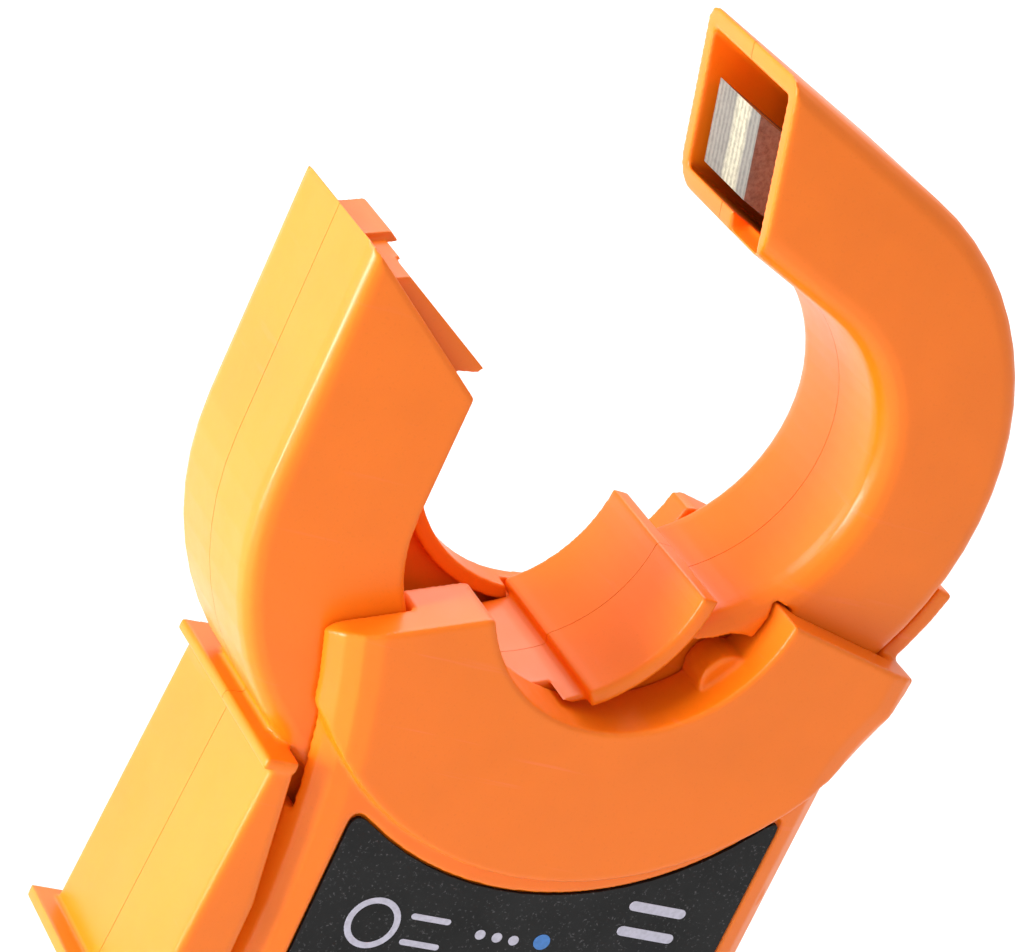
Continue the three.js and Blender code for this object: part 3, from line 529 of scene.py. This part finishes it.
def number(text, x, z, height, front):
    """Digits as a flat closed shape standing on the face."""
    curve = bpy.data.curves.new("digits", "FONT")
    curve.body = text
    curve.size = height
    curve.extrude = PRINT_DEPTH / 2
    curve.align_x, curve.align_y = "CENTER", "CENTER"
    curve.resolution_u = 4
    label = bpy.data.objects.new("digits", curve)
    bpy.context.scene.collection.objects.link(label)
    graph = bpy.context.evaluated_depsgraph_get()
    mesh = bpy.data.meshes.new_from_object(label.evaluated_get(graph))
    bpy.data.objects.remove(label)
    points = [(x + v.co.x, front + PRINT_DEPTH / 2 - v.co.z, z + v.co.y) for v in mesh.vertices]
    faces = [tuple(polygon.vertices) for polygon in mesh.polygons]
    return points, faces


def face_print():
    """Ticks and numbers round the dial, and plain rings, bars and dots in place of words."""
    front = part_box("face_label")[0][1] - PRINT_DEPTH
    back = front + 2 * PRINT_DEPTH
    dial = middle_of("range_dial")
    circle_in, circle_out = 18.3 * MM, 18.6 * MM
    tick_in, tick_out, digit_at = 19.3 * MM, 21.2 * MM, 23.8 * MM
    tick_at, tick_long = (tick_in + tick_out) / 2, tick_out - tick_in
    ticks, digits = [], []
    for i in range(11):
        a = math.radians(90 + 150 - 30 * i)
        c, s = math.cos(a), math.sin(a)
        ticks.append(bar(dial.x + tick_at * c, dial.z + tick_at * s, tick_long, 0.55 * MM, front, back, a))
        digits.append(number(str(i), dial.x + digit_at * c, dial.z + digit_at * s, 3.6 * MM, front))
    ticks.append(ring(dial.x, dial.z, circle_in, circle_out, front, back))
    merged("dial_ticks", ticks, "face", "case", finish="print")
    merged("dial_numbers", digits, "face", "case", finish="print")

    # two bars over the ringed hold button
    hold = middle_of("hold_button")
    above, aside = hold.z + 9 * MM, hold.x - 5.4 * MM
    marks = [bar(aside, above + 2.8 * MM, 9 * MM, 1.5 * MM, front, back),
             bar(aside, above - 1.2 * MM, 9 * MM, 1.5 * MM, front, back),
             ring(hold.x, hold.z, 5.2 * MM, 5.6 * MM, front, back)]
    # a ring with two bars beside it, three dots and a blue one, in a row over the dial
    left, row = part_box("face_label")[0][0], 108.5 * MM
    marks += [ring(left + 9.5 * MM, row, 3.0 * MM, 3.9 * MM, front, back),
              bar(left + 17.5 * MM, row + 2 * MM, 6 * MM, 0.9 * MM, front, back),
              bar(left + 17.5 * MM, row - 2 * MM, 6 * MM, 0.9 * MM, front, back)]
    for i in range(3):
        marks.append(disc(dial.x - 5 * MM + 2.6 * MM * i, row + 1 * MM, 0.75 * MM, front, back))
    merged("face_marks", marks, "face", "case", finish="print")
    dot = disc(dial.x + 4.4 * MM, row + 1.5 * MM, 1.2 * MM, front, back)
    merged("face_dot", [dot], "face", "case", finish="print_blue")

    jacks = [middle_of(f"input_jack_{i}") for i in (1, 2, 3)]
    around = [ring(jack.x, jack.z, 6.6 * MM, 7.0 * MM, front, back) for jack in jacks]
    merged("jack_marks", around, "face", "case", finish="print")


def display_digits():
    """Three seven-segment zeros with a point after the first, and a scale of ticks under them."""
    panel_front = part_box("display_panel")[0][1]
    front, back = panel_front - 0.12 * MM, panel_front + 0.02 * MM
    centre = middle_of("display_window")
    wide, tall, thick = 7.4 * MM, 12.5 * MM, 1.5 * MM
    upright = math.pi / 2
    z = centre.z + 1.2 * MM
    shapes = []
    for i in range(3):
        x = centre.x + (i - 1) * 11.5 * MM
        for side in (-1, 1):
            shapes.append(bar(x, z + side * tall / 2, wide - thick, thick, front, back))
            for level in (-1, 1):
                shapes.append(bar(x + side * wide / 2, z + level * tall / 4, tall / 2 - thick * 0.6,
                                  thick, front, back, upright))
    shapes.append(disc(centre.x - 5.8 * MM, centre.z - 5 * MM, 0.9 * MM, front, back, 12))
    ticks = 31
    for i in range(ticks):
        x = centre.x + (i - ticks // 2) * 1.2 * MM
        long = 1.7 * MM if i % 5 else 2.6 * MM
        shapes.append(bar(x, centre.z - 8.6 * MM, long, 0.4 * MM, front, back, upright))
    merged("display_segments", shapes, "display", "case", finish="segments")


# ------------------------------------------------------------------ small parts

def dial_details():
    """A knurled rim and a white pointer line on the range dial."""
    low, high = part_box("range_dial")
    dial = middle_of("range_dial")
    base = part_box("face_label")[0][1] - 0.3 * MM
    ridges = 40
    r = (high[0] - low[0]) / 2 - 0.15 * MM
    knurls = []
    for i in range(ridges):
        a = 2 * math.pi * i / ridges
        x, z = dial.x + r * math.cos(a), dial.z + r * math.sin(a)
        knurls.append(knurl(x, z, a, base - 1.9 * MM, base - 0.2 * MM))
    merged("dial_knurling", knurls, "dial", "dial")
    top = low[1]
    line = bar(dial.x, dial.z + 11.2 * MM, 7 * MM, 1.0 * MM, top - 0.06 * MM, top + 0.2 * MM, math.pi / 2)
    merged("dial_pointer", [line], "dial", "dial", finish="print")


def knurl(x, z, angle, front, back):
    """One ridge of the dial's grip: a six-sided bar across the rim."""
    c, s = math.cos(angle), math.sin(angle)
    section = [(-0.5, -0.75), (0.25, -0.6), (0.5, -0.2), (0.5, 0.2), (0.25, 0.6), (-0.5, 0.75)]
    outline = [(x + MM * (c * u - s * v), z + MM * (s * u + c * v)) for u, v in section]
    return plate(outline, front, back)


def screw(node):
    """A pan-head screw with a cross recess, turned about Y."""
    low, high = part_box(node)
    x, z = (low[0] + high[0]) / 2, (low[2] + high[2]) / 2
    top = high[1]
    # (radius, depth below the head's rim) in mm, from the crown down to the shank's end
    profile = [(1.3, -0.35), (1.9, -0.12), (2.35, 0.35), (2.5, 0.9), (2.5, 2.0), (1.25, 2.0), (1.25, 20.0)]
    steps = 32
    vertices = []
    for r, depth in profile:
        for i in range(steps):
            a = 2 * math.pi * i / steps
            vertices.append((x + r * MM * math.cos(a), top - depth * MM, z + r * MM * math.sin(a)))
    faces = []
    for row in range(len(profile) - 1):
        for i in range(steps):
            here, there = row * steps, (row + 1) * steps
            after = (i + 1) % steps
            faces.append((here + i, here + after, there + after, there + i))
    faces.append(tuple(reversed(range(steps))))
    faces.append(tuple(range(len(vertices) - steps, len(vertices))))
    piece = new_piece(node + "_head", vertices, faces, "steel", body_of(node))
    for angle in (0.6, 0.6 + math.pi / 2):
        groove = bar(x, z, 2.6 * MM, 0.55 * MM, top - 1.5 * MM, top + 1 * MM, angle)
        slot = merged("slot", [groove], "steel", "case")
        cut = piece.modifiers.new("cross", "BOOLEAN")
        cut.object = slot
        cut.solver = "EXACT"
        applied(piece)
        bpy.data.objects.remove(slot)
    piece.data.shade_smooth()
    piece.data.set_sharp_from_angle(angle=math.radians(35))
    dress(piece, "steel")
    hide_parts(node)


def cover_arrow():
    """A raised arrow on the battery cover that shows which way it slides."""
    low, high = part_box("battery_cover")
    x = (low[0] + high[0]) / 2
    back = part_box("rear_case")[1][1]
    z = high[2] - 24 * MM
    arrow = [(x - 3.2 * MM, z), (x, z - 4.5 * MM), (x + 3.2 * MM, z)]
    merged("cover_arrow", [plate(arrow, back - 0.2 * MM, back + 0.35 * MM)], "case", "battery_cover")


def soften(node):
    """Rounds a CAD piece's edges a little."""
    bevel = NODES[node].modifiers.new("edges", "BEVEL")
    bevel.width = 0.2 * MM
    bevel.segments = 2
    bevel.limit_method = "ANGLE"
    bevel.angle_limit = math.radians(40)


# ------------------------------------------------------------------ build

camera()
paints()
studio()
for node, piece in NODES.items():
    dress(piece, SLOT_OF[node])
mouldings()
face_print()
display_digits()
dial_details()
for i in range(1, 5):
    screw(f"case_screw_{i}")
cover_arrow()
for name in ("input_jack_1", "input_jack_2", "input_jack_3", "fixed_jaw_core"):
    soften(name)
